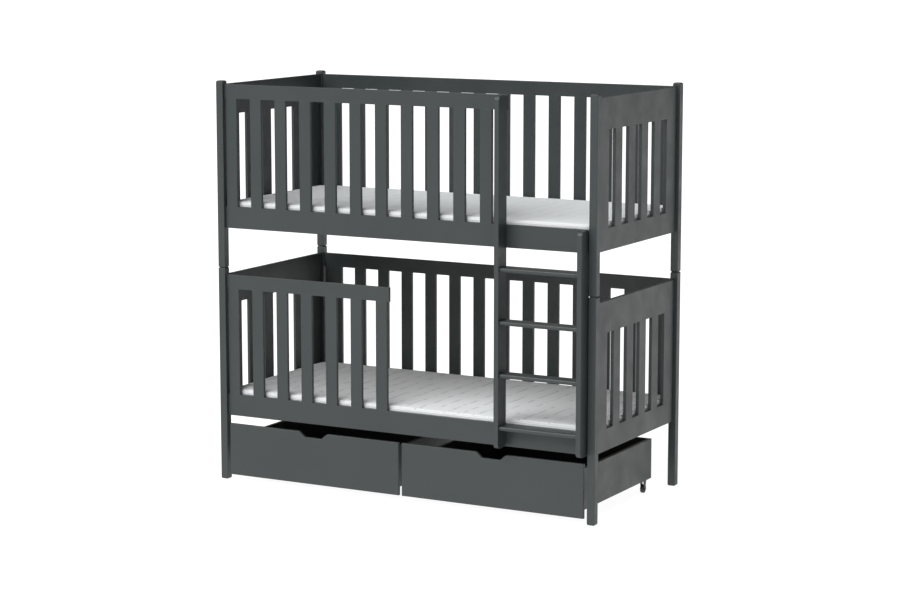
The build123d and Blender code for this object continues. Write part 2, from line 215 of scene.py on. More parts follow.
woodGrain = {
    "streakDetail": 5.0,
    "streakRoughness": 0.6,
    "streakDistortion": 0.35,
    "streakRange": (0.35, 0.7),
    "streakHeight": 0.6,           # where a pore is one deep
    "poreDetail": 2.0,
    "poreRange": (0.56, 0.7),
}
roundedEdge = {
    "bevelSamples": 6,
    # this edge mask also lightens the paint's edges: a little wear and a painted highlight
    "alikeRange": (0.995, 0.82),   # cosine to the true normal, from flat to worn
}
sprayedCoat = {
    "sheenScale": 9.0,
    "sheenDetail": 4.0,
    "sheenRoughness": 0.6,
    "cloudScale": 2.3,
    "cloudDetail": 3.0,
    "cloudRange": (0.3, 0.7),
    "peelScale": 900.0,
    "peelDetail": 1.0,
}
yarn = {
    "rowOffset": 0.5,
    "fuzzScale": 260.0,
    "fuzzDetail": 4.0,
    "fuzzRoughness": 0.7,
}


def boardGrainGroup(values):
    # Wood grain: long streaks and short pores from noise, on coordinates that the
    # material has already squeezed along the grain
    tree, given, result = newGroup(
        "boardGrain",
        {"Vector": "Vector", "Streaks": "Float", "Pores": "Float"},
        {"Streak Mask": "Float", "Pore Mask": "Float", "Height": "Float"},
    )
    streaks = noise(tree, given["Vector"], given["Streaks"], values["streakDetail"],
                    values["streakRoughness"], values["streakDistortion"])
    pores = noise(tree, given["Vector"], given["Pores"], values["poreDetail"])
    streakMask = remap(tree, streaks, *values["streakRange"])
    poreMask = remap(tree, pores, *values["poreRange"])
    height = calculate(tree, "SUBTRACT", product(tree, streakMask, values["streakHeight"]), poreMask)
    tree.links.new(streakMask, result["Streak Mask"])
    tree.links.new(poreMask, result["Pore Mask"])
    tree.links.new(height, result["Height"])
    return tree


def softEdgeGroup(values):
    # Rounded edges: the bevelled normal, and a mask of where it leaves the true one
    tree, given, result = newGroup("softEdge", {"Radius": "Float"}, {"Normal": "Vector", "Edge": "Float"})
    bevel = addNode(tree, "ShaderNodeBevel", {"Radius": given["Radius"]}, samples=values["bevelSamples"])
    rounded = bevel.outputs["Normal"]
    true = addNode(tree, "ShaderNodeNewGeometry").outputs["True Normal"]
    alike = addNode(tree, "ShaderNodeVectorMath", {0: rounded, 1: true}, operation="DOT_PRODUCT")
    tree.links.new(rounded, result["Normal"])
    tree.links.new(remap(tree, alike.outputs["Value"], *values["alikeRange"]), result["Edge"])
    return tree


def sprayedFilmGroup(values):
    # A sprayed coat: a slow change of sheen, a slower one of colour and fine orange peel
    tree, given, result = newGroup(
        "sprayedFilm",
        {"Vector": "Vector"},
        {"Sheen": "Float", "Cloud": "Float", "Height": "Float"},
    )
    places = given["Vector"]
    sheen = noise(tree, places, values["sheenScale"], values["sheenDetail"], values["sheenRoughness"])
    cloud = noise(tree, places, values["cloudScale"], values["cloudDetail"])
    peel = noise(tree, places, values["peelScale"], values["peelDetail"])
    tree.links.new(sheen, result["Sheen"])
    tree.links.new(remap(tree, cloud, *values["cloudRange"]), result["Cloud"])
    tree.links.new(peel, result["Height"])
    return tree


def knitGroup(values):
    # Knitted cloth in surface coordinates: loops are the product of two waves, and
    # each row is set off by half a loop from the last
    tree, given, result = newGroup(
        "knit",
        {"Vector": "Vector", "Pitch": "Float"},
        {"Loops": "Float", "Fuzz": "Float"},
    )
    parts = addNode(tree, "ShaderNodeSeparateXYZ", {0: given["Vector"]}).outputs
    across = calculate(tree, "DIVIDE", parts["X"], given["Pitch"])
    along = calculate(tree, "DIVIDE", parts["Y"], given["Pitch"])
    offset = product(tree, calculate(tree, "FLOOR", along), values["rowOffset"])
    columns = calculate(tree, "SINE", product(tree, calculate(tree, "ADD", across, offset), math.pi))
    rows = calculate(tree, "SINE", product(tree, along, math.pi))
    loops = product(tree, calculate(tree, "ABSOLUTE", columns), calculate(tree, "ABSOLUTE", rows))
    fuzz = noise(tree, given["Vector"], values["fuzzScale"], values["fuzzDetail"], values["fuzzRoughness"])
    tree.links.new(loops, result["Loops"])
    tree.links.new(fuzz, result["Fuzz"])
    return tree


boardGrain = boardGrainGroup(woodGrain)
softEdge = softEdgeGroup(roundedEdge)
sprayedFilm = sprayedFilmGroup(sprayedCoat)
knit = knitGroup(yarn)


# Materials

noiseRange = (0.3, 0.7)            # where most of a noise's values lie
grainStretch = 12.0
grainSqueeze = {
    "X": (1.0, grainStretch, grainStretch),
    "Y": (grainStretch, 1.0, grainStretch),
    "Z": (grainStretch, grainStretch, 1.0),
}


def newMaterial(name):
    # An empty material with its shader, ready for links
    material = bpy.data.materials.new(name)
    material.use_nodes = True
    return material, material.node_tree, material.node_tree.nodes["Principled BSDF"].inputs


def objectPlaces(tree, squeeze):
    # Object coordinates, each times its own squeeze
    places = addNode(tree, "ShaderNodeTexCoord").outputs["Object"]
    return addNode(tree, "ShaderNodeMapping", {"Vector": places, "Scale": squeeze}).outputs["Vector"]


def evenPlaces(tree, squeeze=1.0):
    # Object coordinates with the same squeeze every way
    return objectPlaces(tree, (squeeze, squeeze, squeeze))


def setRoughness(tree, shader, mask, limits):
    # From the first limit to the second as the mask crosses a noise's usual range
    tree.links.new(remap(tree, mask, *noiseRange, *limits), shader["Roughness"])


graphitePaint = {
    "color": (0.0215, 0.0290, 0.0290, 1.0),
    "paleColor": (0.0280, 0.0355, 0.0350, 1.0),
    # the edge colour is a painted highlight on the rounded edges, with a little wear
    "wornHighlightColor": (0.055, 0.064, 0.063, 1.0),
    "specular": 0.58,
    "streaks": 5.0,
    "pores": 70.0,
    "grainShade": 0.22,
    "wornHighlightShare": 0.22,
    "roughness": (0.38, 0.52),
    "edgeRadius": 0.0014,
    "grainDepth": 0.00012,
    "peelDepth": 0.00002,
}


def makePaint(direction, values):
    # Satin paint over grain: the colour drifts slowly, follows the streaks a little
    # and is painted pale on the rounded edges, both as a little wear and as a painted highlight
    material, tree, shader = newMaterial("graphitePaint" + direction)
    shader["Specular IOR Level"].default_value = values["specular"]
    grain = useGroup(tree, boardGrain, {
        "Vector": objectPlaces(tree, grainSqueeze[direction]),
        "Streaks": values["streaks"], "Pores": values["pores"]})
    film = useGroup(tree, sprayedFilm, {"Vector": evenPlaces(tree)})
    edge = useGroup(tree, softEdge, {"Radius": values["edgeRadius"]})
    streaked = product(tree, grain["Streak Mask"], values["grainShade"])
    # painted highlight, with a little wear, along the rounded edges
    wornHighlight = product(tree, edge["Edge"], values["wornHighlightShare"])
    drift = mixColors(tree, film["Cloud"], values["color"], values["paleColor"])
    grained = mixColors(tree, streaked, drift, values["paleColor"])
    tree.links.new(mixColors(tree, wornHighlight, grained, values["wornHighlightColor"]), shader["Base Color"])
    setRoughness(tree, shader, film["Sheen"], values["roughness"])
    raised = bump(tree, grain["Height"], values["grainDepth"], normal=edge["Normal"])
    tree.links.new(bump(tree, film["Height"], values["peelDepth"], normal=raised), shader["Normal"])
    return material


barePine = {
    "paleColor": (0.57, 0.51, 0.42, 1.0),
    "darkColor": (0.38, 0.32, 0.24, 1.0),
    "poreColor": (0.26, 0.20, 0.14, 1.0),
    "streaks": 3.2,
    "pores": 48.0,
    "poreShade": 0.5,
    "roughness": (0.5, 0.68),
    "edgeRadius": 0.0014,
    "grainDepth": 0.0003,
}


def makePine(direction, values):
    # Planed pine: bands of early and late wood with darker pores
    material, tree, shader = newMaterial("barePine" + direction)
    grain = useGroup(tree, boardGrain, {
        "Vector": objectPlaces(tree, grainSqueeze[direction]),
        "Streaks": values["streaks"], "Pores": values["pores"]})
    film = useGroup(tree, sprayedFilm, {"Vector": evenPlaces(tree)})
    edge = useGroup(tree, softEdge, {"Radius": values["edgeRadius"]})
    bands = mixColors(tree, grain["Streak Mask"], values["paleColor"], values["darkColor"])
    pores = product(tree, grain["Pore Mask"], values["poreShade"])
    tree.links.new(mixColors(tree, pores, bands, values["poreColor"]), shader["Base Color"])
    setRoughness(tree, shader, film["Sheen"], values["roughness"])
    raised = bump(tree, grain["Height"], values["grainDepth"], normal=edge["Normal"])
    tree.links.new(raised, shader["Normal"])
    return material


zincSteel = {
    "color": (0.075, 0.078, 0.082, 1.0),
    "darkColor": (0.042, 0.044, 0.048, 1.0),
    "spangle": 14.0,
    "spangleDepth": 0.00005,
    "roughness": (0.3, 0.5),
    "edgeRadius": 0.0005,
}


def makeSteel(values):
    # Pressed steel, zinc-plated and blackened: cloudy spangle and a rubbed sheen
    material, tree, shader = newMaterial("zincSteel")
    shader["Metallic"].default_value = 1.0
    film = useGroup(tree, sprayedFilm, {"Vector": evenPlaces(tree, values["spangle"])})
    edge = useGroup(tree, softEdge, {"Radius": values["edgeRadius"]})
    spangled = mixColors(tree, film["Cloud"], values["darkColor"], values["color"])
    tree.links.new(spangled, shader["Base Color"])
    setRoughness(tree, shader, film["Sheen"], values["roughness"])
    raised = bump(tree, film["Sheen"], values["spangleDepth"], normal=edge["Normal"])
    tree.links.new(raised, shader["Normal"])
    return material


rollerPlastic = {
    "color": (0.012, 0.012, 0.013, 1.0),
    "dustColor": (0.06, 0.058, 0.055, 1.0),
    "mottle": 6.0,
    "dustShade": 0.35,
    "grainDepth": 0.00004,
    "roughness": (0.42, 0.62),
    "edgeRadius": 0.0016,
}


def makePlastic(values):
    # Moulded black plastic with a fine grain and clouds of dust
    material, tree, shader = newMaterial("rollerPlastic")
    film = useGroup(tree, sprayedFilm, {"Vector": evenPlaces(tree, values["mottle"])})
    edge = useGroup(tree, softEdge, {"Radius": values["edgeRadius"]})
    dust = product(tree, film["Cloud"], values["dustShade"])
    tree.links.new(mixColors(tree, dust, values["color"], values["dustColor"]), shader["Base Color"])
    setRoughness(tree, shader, film["Sheen"], values["roughness"])
    raised = bump(tree, film["Height"], values["grainDepth"], normal=edge["Normal"])
    tree.links.new(raised, shader["Normal"])
    return material


quiltPitch = 0.072                 # from one sewn channel to the next
panelCloth = {
    "color": (0.715, 0.735, 0.75, 1.0),
    "shade": (0.625, 0.645, 0.66, 1.0),
    "mottle": 0.6,
    # painted shade of the sewn channels, used for the stitches and for the puckers beside them
    "seamShadeColor": (0.34, 0.35, 0.36, 1.0),
    "threadHalfWidth": 0.0016,
    "threadCore": 0.5,             # share of the half width that has the full colour
    "stitchLength": 0.0085,
    "stitchGapShare": 0.34,
    "stitchDepth": 0.0012,
    "stitchBump": 0.8,
    # painted seam shade is stronger on the lower mattress than on the upper one
    "stitchShades": {"lower": 1.0, "upper": 0.3},
    "tautPerMetre": 16.0,          # how often a seam goes from taut to slack
    "tautRange": (0.46, 0.56),
    "tautLimits": (0.05, 1.0),
    "seamShift": 3.7,              # so that no two seams go slack at the same place
    "slackDetail": 2.0,
    "puckerWidth": 0.010,
    "creaseScale": 55.0,
    "creaseDetail": 2.0,
    "creaseShade": 0.9,
    "knitPitch": 0.0016,
    "loopDepth": 0.00035,
    "loopBump": 0.7,
    "roughness": (0.82, 0.95),
    "sheen": 0.15,
}


def makePanelCloth(name, values, stitchShade):
    # The top and bottom cloth: fine knit, and rows of stitches in dashes along the
    # sewn channels, whose places are whole numbers of the quilting pitch. The dashes
    # and the puckers beside each seam are darkened with painted shade of the channels
    material, tree, shader = newMaterial(name)
    shader["Sheen Weight"].default_value = values["sheen"]
    places = addNode(tree, "ShaderNodeUVMap", uv_map="cloth").outputs["UV"]
    weave = useGroup(tree, knit, {"Vector": places, "Pitch": values["knitPitch"]})
    parts = addNode(tree, "ShaderNodeSeparateXYZ", {0: places}).outputs

    turns = calculate(tree, "DIVIDE", parts["X"], quiltPitch)
    seam = calculate(tree, "ROUND", turns)
    offSeam = calculate(tree, "ABSOLUTE", calculate(tree, "SUBTRACT", turns, seam))
    distance = product(tree, offSeam, quiltPitch)
    halfWidth = values["threadHalfWidth"]
    line = remap(tree, distance, halfWidth * values["threadCore"], halfWidth, 1.0, 0.0)
    step = calculate(tree, "FRACT", calculate(tree, "DIVIDE", parts["Y"], values["stitchLength"]))
    dash = calculate(tree, "GREATER_THAN", step, values["stitchGapShare"])

    row = product(tree, seam, values["seamShift"])
    reach = product(tree, parts["Y"], values["tautPerMetre"])
    spread = addNode(tree, "ShaderNodeCombineXYZ", {"X": row, "Y": reach}).outputs["Vector"]
    slack = noise(tree, spread, 1.0, values["slackDetail"])
    taut = product(tree, remap(tree, slack, *values["tautRange"], *values["tautLimits"]), stitchShade)
    # the stitches and the puckers carry painted channel shade, which fades where a seam is slack
    stitch = product(tree, line, dash, taut)
    pucker = remap(tree, distance, 0.0, values["puckerWidth"], 1.0, 0.0)
    wobble = noise(tree, places, values["creaseScale"], values["creaseDetail"])
    crease = product(tree, pucker, wobble, taut, values["creaseShade"])

    mottle = product(tree, weave["Fuzz"], values["mottle"])
    cloth = mixColors(tree, mottle, values["color"], values["shade"])
    creased = mixColors(tree, crease, cloth, values["seamShadeColor"])
    tree.links.new(mixColors(tree, stitch, creased, values["seamShadeColor"]), shader["Base Color"])
    setRoughness(tree, shader, weave["Fuzz"], values["roughness"])
    loops = bump(tree, weave["Loops"], values["loopDepth"], values["loopBump"])
    height = calculate(tree, "SUBTRACT", product(tree, wobble, pucker), stitch)
    sewn = bump(tree, height, values["stitchDepth"], values["stitchBump"], loops)
    tree.links.new(sewn, shader["Normal"])
    return material


borderCloth = {
    "color": (0.76, 0.775, 0.78, 1.0),
    # painted shade inside the border's holes
    "holeShadeColor": (0.20, 0.21, 0.22, 1.0),
    "dotPitch": 0.0092,
    "rowShare": 0.8,               # of the pitch, from one row of dots to the next
    "rowOffset": 0.5,
    "dotRadius": 0.0017,
    "dotFade": (0.6, 1.3),         # shares of the radius
    "holeRange": (0.45, 1.0),
    "holeDepth": 0.0009,
    "puffRange": (0.1, 0.55),      # shares of the pitch
    "knitPitch": 0.0011,
    "loopDepth": 0.0003,
    "loopBump": 0.7,
    "roughness": (0.85, 0.97),
    "sheen": 0.1,
}


def makeBorderCloth(values):
    # The white border: a thick knit with small holes in staggered rows. A hole is
    # where the distance from its cell's middle is under the dot's radius, and its dark
    # colour is painted shade inside the hole
    material, tree, shader = newMaterial("borderCloth")
    shader["Sheen Weight"].default_value = values["sheen"]
    places = addNode(tree, "ShaderNodeUVMap", uv_map="cloth").outputs["UV"]
    weave = useGroup(tree, knit, {"Vector": places, "Pitch": values["knitPitch"]})
    parts = addNode(tree, "ShaderNodeSeparateXYZ", {0: places}).outputs

    row = calculate(tree, "DIVIDE", parts["Y"], values["dotPitch"] * values["rowShare"])
    stagger = product(tree, calculate(tree, "FLOOR", row), values["rowOffset"])
    column = calculate(tree, "ADD", calculate(tree, "DIVIDE", parts["X"], values["dotPitch"]), stagger)
    offX = calculate(tree, "SUBTRACT", calculate(tree, "FRACT", column), 0.5)
    offRow = calculate(tree, "SUBTRACT", calculate(tree, "FRACT", row), 0.5)
    offY = product(tree, offRow, values["rowShare"])
    squares = calculate(tree, "ADD", product(tree, offX, offX), product(tree, offY, offY))
    reach = calculate(tree, "SQRT", squares)

    radius = values["dotRadius"] / values["dotPitch"]
    fadeFrom, fadeTo = values["dotFade"]
    hole = remap(tree, reach, radius * fadeFrom, radius * fadeTo, 1.0, 0.0)
    # painted shade inside each hole, deeper in some holes than in others
    depth = product(tree, hole, remap(tree, weave["Fuzz"], *noiseRange, *values["holeRange"]))
    tree.links.new(mixColors(tree, depth, values["color"], values["holeShadeColor"]), shader["Base Color"])
    setRoughness(tree, shader, weave["Fuzz"], values["roughness"])
    loops = bump(tree, weave["Loops"], values["loopDepth"], values["loopBump"])
    puff = remap(tree, reach, *values["puffRange"])
    tree.links.new(bump(tree, puff, values["holeDepth"], normal=loops), shader["Normal"])
    return material


paints = {direction: makePaint(direction, graphitePaint) for direction in "XYZ"}
pines = {direction: makePine(direction, barePine) for direction in "XY"}
steel = makeSteel(zincSteel)
plastic = makePlastic(rollerPlastic)
border = makeBorderCloth(borderCloth)
# two copies of one cloth, which differ only in how much painted seam shade they carry
panels = {level: makePanelCloth(level + "PanelCloth", panelCloth, shade)
          for level, shade in panelCloth["stitchShades"].items()}
print("materials ready")


def finishFor(node):
    # Each board's paint or pine follows the way that its grain runs
    if "wheel" in node:
        return plastic
    if "castor" in node:
        return steel
    if "base_slats" in node:
        return pines["Y"]
    if "cleats" in node:
        return pines["X"]
    if "end_rails" in node or "drawer_sides" in node or "drawer_bottom" in node:
        return paints["Y"]
    if "post" in node or "slats" in node or "upright" in node:
        return paints["Z"]
    return paints["X"]


for node, thing in cadNodes.items():
    if "mattress" not in node:
        for slot in thing.material_slots:
            slot.material = finishFor(node)


def makeMesh(name, points, faces, materials):
    # A smooth mesh from an array of points and a list of faces
    mesh = bpy.data.meshes.new(name)
    mesh.from_pydata(points.tolist(), [], faces)
    for material in materials:
        mesh.materials.append(material)
    mesh.polygons.foreach_set("use_smooth", np.ones(len(mesh.polygons), bool))
    mesh.update()
    thing = bpy.data.objects.new(name, mesh)
    bpy.context.scene.collection.objects.link(thing)
    return thing


# Mattresses

mattress = {
    "cornerRadius": 0.040,
    "lastSeam": 11,                # seams on each side of the middle one
    "columnShares": (0.0, 0.045, 0.12, 0.22, 0.34, 0.5, 0.66, 0.78, 0.88, 0.955),
    "columnMargin": 0.003,
    "rowStep": 0.008,
    "seamSway": 0.0028,            # how far the stitched rows wander
    "swayLength": 0.23,
    "swayTurn": 1.7,               # radians from one seam's sway to the next
    "swayMargin": 0.12,
    "topInset": 0.011,             # from the sides to the flat top's edge
    "crown": 0.003,
    "crownMargin": 0.055,
    "channelDepth": 0.0018,
    "channelWidth": 0.005,
    "channelMargin": 0.04,
    "rollInsets": (0.0066, 0.0036, 0.0022),
    "rollDrops": (0.0004, 0.0014, 0.0028),
    "seamTuck": 0.0030,
    "seamDrop": 0.0044,
    "borderGap": 0.0022,           # from the seam to the border's first row
    "borderRows": 9,
    "waist": 0.0012,
}
tiny = 1e-9


def roundedPlan(x, y, halfLength, halfWidth, radius):
    # Squares at the corners become quarter discs: the larger offset is the radius
    # and the ratio of the offsets gives the angle
    a = np.clip((np.abs(x) - (halfLength - radius)) / radius, 0, None)
    b = np.clip((np.abs(y) - (halfWidth - radius)) / radius, 0, None)
    reach = np.maximum(a, b)
    turn = np.minimum(a, b) / np.maximum(reach, tiny) * math.pi / 4
    angle = np.where(a >= b, turn, math.pi / 2 - turn)
    corner = (a > 0) & (b > 0)
    newX = np.where(corner, np.sign(x) * (halfLength - radius + radius * reach * np.cos(angle)), x)
    newY = np.where(corner, np.sign(y) * (halfWidth - radius + radius * reach * np.sin(angle)), y)
    return newX, newY


def ramp(distance, margin, least=0.0):
    # The distance over the margin, kept between the least value and one
    return np.clip(distance / margin, least, 1)


def easeOut(share):
    # One less the square of what is left: quick at first and level at the end
    return 1 - (1 - share) ** 2


def padLines(length, width, values):
    # Columns across the pad at shares of each quilting pitch, and evenly spaced rows
    halfLength, halfWidth, inset = length / 2, width / 2, values["topInset"]
    pitches = math.ceil(halfLength / quiltPitch)
    turns = np.arange(-pitches, pitches)
    columns = ((turns[:, None] + np.array(values["columnShares"])[None, :]) * quiltPitch).ravel()
    columns = columns[np.abs(columns) < halfLength - inset - values["columnMargin"]]
    columns = np.concatenate([[inset - halfLength], columns, [halfLength - inset]])
    rows = np.linspace(inset - halfWidth, halfWidth - inset, int(width / values["rowStep"]) + 1)
    return columns, rows


def padTop(columns, rows, size, values):
    # The top: its edges fall by the crown, each channel is a bell curve across its
    # seam, and the seams wander as sines along the pad's width
    halfLength, halfWidth, inset = size[0] / 2, size[1] / 2, values["topInset"]
    flatX, flatY = [part.ravel() for part in np.meshgrid(columns, rows, indexing="ij")]
    toEnd, toSide = halfLength - np.abs(flatX), halfWidth - np.abs(flatY)
    seam = np.round(flatX / quiltPitch)
    sway = np.sin(flatY / values["swayLength"] * 2 * math.pi + seam * values["swayTurn"])
    middle = ramp(toSide, values["swayMargin"]) * ramp(toEnd, values["swayMargin"])
    radius = values["cornerRadius"] - inset
    planX, planY = roundedPlan(flatX, flatY, halfLength - inset, halfWidth - inset, radius)
    planX = planX + values["seamSway"] * sway * middle
    inside = np.minimum(toEnd, toSide) - inset
    seamDistance = np.abs(flatX - seam * quiltPitch)
    sewn = (np.abs(seam) <= values["lastSeam"]) * ramp(inside, values["channelMargin"])
    channel = values["channelDepth"] * np.exp(-(seamDistance / values["channelWidth"]) ** 2) * sewn
    fall = values["crown"] * (1 - easeOut(ramp(inside, values["crownMargin"])))
    points = np.stack([planX, planY, size[2] - fall - channel], -1)
    return np.stack([flatX, flatY], -1), points, inside, seamDistance, sewn


def gridFaces(start, columns, rows):
    # Four corners of each cell of a grid, seen from above
    first = start + np.arange(columns - 1)[:, None] * rows + np.arange(rows - 1)[None, :]
    return np.stack([first, first + rows, first + rows + 1, first + 1], -1).reshape(-1, 4)


def gridLoop(columns, rows):
    # The grid's outer points, in order all the way round
    return np.concatenate([
        np.arange(columns) * rows,
        (columns - 1) * rows + np.arange(1, rows),
        np.arange(columns - 2, -1, -1) * rows + rows - 1,
        np.arange(rows - 2, 0, -1),
    ])


def sideProfile(edgeZ, values):
    # Inset and height of each ring down the side: a rolled seam, the border with its
    # waist as half a sine, and the same seam upside down
    insets = np.append(values["rollInsets"], values["seamTuck"])
    drops = np.append(values["rollDrops"], values["seamDrop"])
    share = np.linspace(0, 1, values["borderRows"])
    low = values["seamDrop"] + values["borderGap"]
    high = edgeZ - low
    rollTop = np.stack([insets, edgeZ - drops], -1)
    middle = np.stack([values["waist"] * np.sin(share * math.pi), high - share * (high - low)], -1)
    rollLow = np.stack([insets, drops], -1)[::-1]
    return np.concatenate([rollTop, middle, rollLow])


def sideRings(outline, profile, size, radius):
    # The outline at each ring's inset and height: a point goes straight out from the
    # sides, and out from the rounding's centre at a corner
    inner = np.array(size[:2]) / 2 - radius
    anchor = np.clip(outline, -inner, inner)
    outward = outline - anchor
    outward = outward / np.linalg.norm(outward, axis=1)[:, None]
    rings = anchor[None] + outward[None] * (radius - profile[:, 0])[:, None, None]
    heights = np.broadcast_to(profile[:, 1][:, None, None], rings.shape[:2] + (1,))
    return np.concatenate([rings, heights], -1)


def sideCloth(outline, heights):
    # Cloth coordinates of the side's faces: the way round the outline, and the height
    steps = np.linalg.norm(np.roll(outline, -1, axis=0) - outline, axis=1)
    travelled = np.concatenate([[0], np.cumsum(steps)])
    here, there = travelled[:-1], travelled[1:]
    above, below = heights[:-1, None], heights[1:, None]
    corners = ((here, above), (here, below), (there, below), (there, above))
    placed = [np.stack(np.broadcast_arrays(*corner), -1) for corner in corners]
    return np.stack(placed, -2).reshape(-1, 4, 2)


def mattressSurface(size, values):
    # A closed pad about its own middle: a grid on top, rings down the side that
    # follow the outline at each inset, and a flat grid below. Firm points are those
    # on the rolled seams and on the underside
    columns, rows = padLines(size[0], size[1], values)
    flat, top, inside, seamDistance, sewn = padTop(columns, rows, size, values)
    nx, ny, topCount = len(columns), len(rows), len(top)
    loop = gridLoop(nx, ny)
    edgeZ = size[2] - values["crown"]
    profile = sideProfile(edgeZ, values)
    rings = sideRings(top[loop, :2], profile, size, values["cornerRadius"])
    bottom = top * (1, 1, 0)
    ringIds = topCount + np.arange(len(profile) * len(loop)).reshape(len(profile), -1)
    lowStart = topCount + ringIds.size

    allRings = np.concatenate([loop[None], ringIds, (loop + lowStart)[None]])
    ahead = np.roll(allRings, -1, axis=1)
    strips = np.stack([allRings[:-1], allRings[1:], ahead[1:], ahead[:-1]], -1)
    topFaces = gridFaces(0, nx, ny)
    lowFaces = gridFaces(lowStart, nx, ny)[:, ::-1]
    heights = np.concatenate([[edgeZ], profile[:, 1], [0]])
    sides = sideCloth(top[loop, :2], heights)

    seamRing = len(values["rollInsets"])
    lowSeamRing = seamRing + values["borderRows"] + 1
    strip = np.repeat(np.arange(len(profile) + 1), len(loop))
    isBorder = (strip > seamRing) & (strip <= lowSeamRing)
    lowGrid = np.arange(lowStart, lowStart + topCount)
    return {
        "points": np.concatenate([top, rings.reshape(-1, 3), bottom]),
        "faces": np.concatenate([topFaces, strips.reshape(-1, 4), lowFaces]),
        "cloth": np.concatenate([flat[topFaces], sides, flat[lowFaces - lowStart]]),
        "slots": np.concatenate([np.zeros(len(topFaces)), isBorder, np.zeros(len(lowFaces))]),
        "firm": np.concatenate([loop, ringIds[seamRing], ringIds[lowSeamRing:].ravel(), lowGrid]),
        "inside": inside,
        "seamDistance": seamDistance,
        "sewn": sewn,
    }


swell = {
    "pressure": 4.0,
    "frames": 20,
    "quality": 4,
    "mass": 0.3,
    "puff": 0.0035,
    "sidePuff": 0.0010,
    "puffMargin": 0.03,
    "leastPuffShare": 0.15,
    "sewnShare": 0.3,              # a seam holds where its channel is deeper than this
    "levelShares": {"lower": 1.0, "upper": 0.55},
    "fill": 0.9,
}


def inflated(points, faces, pins, values):
    # Cloth under pressure: the stitched points hold and the rest swells; returns
    # where the points have gone
    pad = makeMesh("swelling", points, faces, [])
    pad.vertex_groups.new(name="stitches").add(pins.tolist(), 1.0, "REPLACE")
    cloth = pad.modifiers.new("cloth", "CLOTH")
    cloth.settings.quality = values["quality"]
    cloth.settings.mass = values["mass"]
    cloth.settings.use_pressure = True
    cloth.settings.uniform_pressure_force = values["pressure"]
    cloth.settings.vertex_group_mass = "stitches"
    cloth.settings.effector_weights.gravity = 0.0
    cloth.collision_settings.use_collision = False
    cloth.point_cache.frame_start = 1
    cloth.point_cache.frame_end = values["frames"]
    for step in range(1, values["frames"] + 1):
        bpy.context.scene.frame_set(step)
    grown = pad.evaluated_get(bpy.context.evaluated_depsgraph_get()).to_mesh()
    places = np.empty(points.size)
    grown.vertices.foreach_get("co", places)
    bpy.data.objects.remove(pad)
    bpy.context.scene.frame_set(1)
    return places.reshape(-1, 3)


def swellingOf(surface, values):
    # It eases off to a cap: cap times tanh of way over cap
    points, seamDistance, sewn = surface["points"], surface["seamDistance"], surface["sewn"]
    topCount = len(sewn)
    stitched = np.flatnonzero((seamDistance < tiny) & (sewn > values["sewnShare"]))
    pins = np.unique(np.concatenate([stitched, surface["firm"]]))
    way = inflated(points, surface["faces"].tolist(), pins, values) - points
    topShare = ramp(surface["inside"], values["puffMargin"], values["leastPuffShare"])
    share = np.concatenate([topShare, np.ones(len(points) - 2 * topCount), np.zeros(topCount)])
    reach = np.linalg.norm(way, axis=1)
    cap = np.where(np.arange(len(points)) < topCount, values["puff"], values["sidePuff"])
    kept = cap * np.tanh(reach / cap) * share
    print("mattress swelling up to %.1f mm, kept to %.1f mm" % (reach.max() * 1000, kept.max() * 1000))
    return way * (kept / np.maximum(reach, tiny))[:, None]


low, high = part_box("lower_mattress")
surface = mattressSurface((high.x - low.x, high.y - low.y, high.z - low.z), mattress)
swelling = swellingOf(surface, swell)

for level, share in swell["levelShares"].items():
    low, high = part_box(level + "_mattress")
    offset = np.array([(low.x + high.x) / 2, (low.y + high.y) / 2, low.z])
    placed = surface["points"] + swelling * share + offset
    pad = makeMesh(level + "Mattress", placed, surface["faces"].tolist(), [panels[level], border])
    layer = pad.data.uv_layers.new(name="cloth")
    layer.data.foreach_set("uv", surface["cloth"].astype(np.float32).ravel())
    pad.data.polygons.foreach_set("material_index", surface["slots"].astype(np.int32))
    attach(pad, bedBody)
    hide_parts(level + "_mattress")
print("mattresses ready,", len(surface["faces"]), "faces each")


# Small fasteners

# Each profile runs from the middle underneath, round the rim and back to the middle.
# A point is a radius, a height and a one where the ring is a hexagon
headProfiles = {
    "bolt": ((0, 0, 0), (0.0085, 0, 0), (0.0088, 0.0006, 0), (0.0085, 0.0012, 0), (0.0064, 0.0012, 0),
             (0.0064, 0.0020, 0), (0.0058, 0.0031, 0), (0.0044, 0.0037, 0), (0.0028, 0.0038, 1),
             (0.0025, 0.0037, 1), (0.0024, 0.0018, 1), (0, 0.0017, 1)),
    "screw": ((0, 0, 0), (0.0036, 0, 0), (0.0035, 0.0008, 0), (0.0027, 0.0015, 0), (0.0017, 0.0017, 1),
              (0.0015, 0.0016, 1), (0.0014, 0.0007, 1), (0, 0.0007, 1)),
    "rivet": ((0, 0, 0), (0.0040, 0, 0), (0.0039, 0.0006, 0), (0.0030, 0.0014, 0), (0.0015, 0.0018, 0),
              (0, 0.0019, 0)),
}
fasteners = {
    "turnSteps": 36,
    "sharpDegrees": 40,
    "cleatDepth": 0.020,
    "cleatScrews": 7,
    "cleatEndShare": 0.94,
    "plateThickness": 0.0025,
    "legOffset": 0.009,
    "flangeOffset": 0.0135,
    "plateScrewOffset": 0.013,
}


